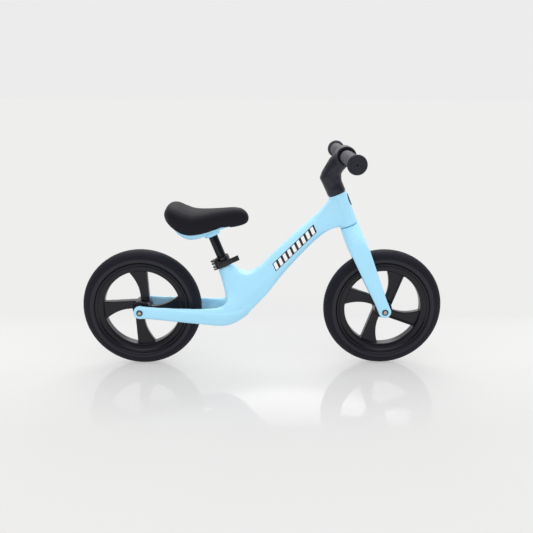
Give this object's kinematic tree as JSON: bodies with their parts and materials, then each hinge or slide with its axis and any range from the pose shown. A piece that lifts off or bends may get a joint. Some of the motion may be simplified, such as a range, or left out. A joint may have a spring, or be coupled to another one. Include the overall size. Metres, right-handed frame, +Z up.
{
  "type": "balance bike",
  "caption": "Small pedal-less bike with a moulded swoop frame, forked rear end, steered fork, spoked wheels with solid foam tyres, and a saddle on a clamped post.",
  "frame": {"origin": "on the ground under the middle of the wheelbase, on the bike's centre plane", "axes": "+X forward, +Y to the rider's left, +Z up"},
  "size_m": [0.8788, 0.384, 0.5375],
  "materials": {
    "frame_blue": "satin moulded nylon",
    "base_blue": "satin moulded nylon",
    "cushion_black": "soft moulded skin, satin",
    "stem_black": "satin",
    "wheel_black": "satin",
    "tyre_foam": "matte foam rubber with a fine tread",
    "grip_rubber": "matte rubber",
    "post_black": "gloss black",
    "bar_black": "satin black",
    "clamp_black": "satin",
    "collar_black": "satin black",
    "badge_grey": "satin",
    "bright_steel": "zinc plated",
    "washer_steel": "dark plated",
    "nylon": "moulded"
  },
  "bodies": {
    "frame": {"frame": "frame_blue", "head_badge": "badge_grey", "headset_lower_bush": "nylon", "headset_upper_bush": "nylon", "seat_collar": "collar_black", "clamp_skewer": "bright_steel", "clamp_nut": "bright_steel", "lever_pivot": "bright_steel", "rear_axle": "bright_steel", "rear_spacer_left": "nylon", "rear_spacer_right": "nylon", "rear_washer_left": "washer_steel", "rear_washer_right": "washer_steel", "rear_bolt_left": "bright_steel", "rear_bolt_right": "bright_steel"},
    "lever": {"clamp_lever": "clamp_black"},
    "seat": {"seat_post": "post_black", "saddle_base": "base_blue", "saddle_cushion": "cushion_black", "saddle_bolt": "bright_steel", "saddle_nut": "bright_steel"},
    "steering": {"fork": "frame_blue", "steerer_tube": "bright_steel", "steerer_plug": "bright_steel", "stem": "stem_black", "stem_bolt": "bar_black", "bar_screw": "bar_black", "handlebar": "bar_black", "grip_left": "grip_rubber", "grip_right": "grip_rubber", "front_axle": "bright_steel", "front_spacer_left": "nylon", "front_spacer_right": "nylon", "front_washer_left": "washer_steel", "front_washer_right": "washer_steel", "front_bolt_left": "bright_steel", "front_bolt_right": "bright_steel"},
    "rear_wheel": {"rear_wheel": "wheel_black", "rear_tyre": "tyre_foam", "rear_bearing_left": "bright_steel", "rear_bearing_right": "bright_steel"},
    "front_wheel": {"front_wheel": "wheel_black", "front_tyre": "tyre_foam", "front_bearing_left": "bright_steel", "front_bearing_right": "bright_steel"}
  },
  "joints": [
    {"name": "steering_turn", "type": "hinge", "parent": "frame", "child": "steering", "pos_m": [0.20511, 0, 0.35136], "axis": [-0.3786, 0, 0.9255], "range_deg": [-60, 60]},
    {"name": "rear_wheel_spin", "type": "hinge", "parent": "frame", "child": "rear_wheel", "pos_m": [-0.2944, 0, 0.145], "axis": [0, 1, 0], "continuous": true},
    {"name": "front_wheel_spin", "type": "hinge", "parent": "steering", "child": "front_wheel", "pos_m": [0.2944, 0, 0.145], "axis": [0, 1, 0], "continuous": true},
    {"name": "seat_height", "type": "slide", "parent": "frame", "child": "seat", "axis": [-0.3714, 0, 0.9285], "range_m": [-0.03, 0.035]},
    {"name": "clamp_lever_swing", "type": "hinge", "parent": "frame", "child": "lever", "pos_m": [-0.10777, -0.0205, 0.24337], "axis": [0.3714, 0, -0.9285], "range_deg": [0, 115]}
  ]
}
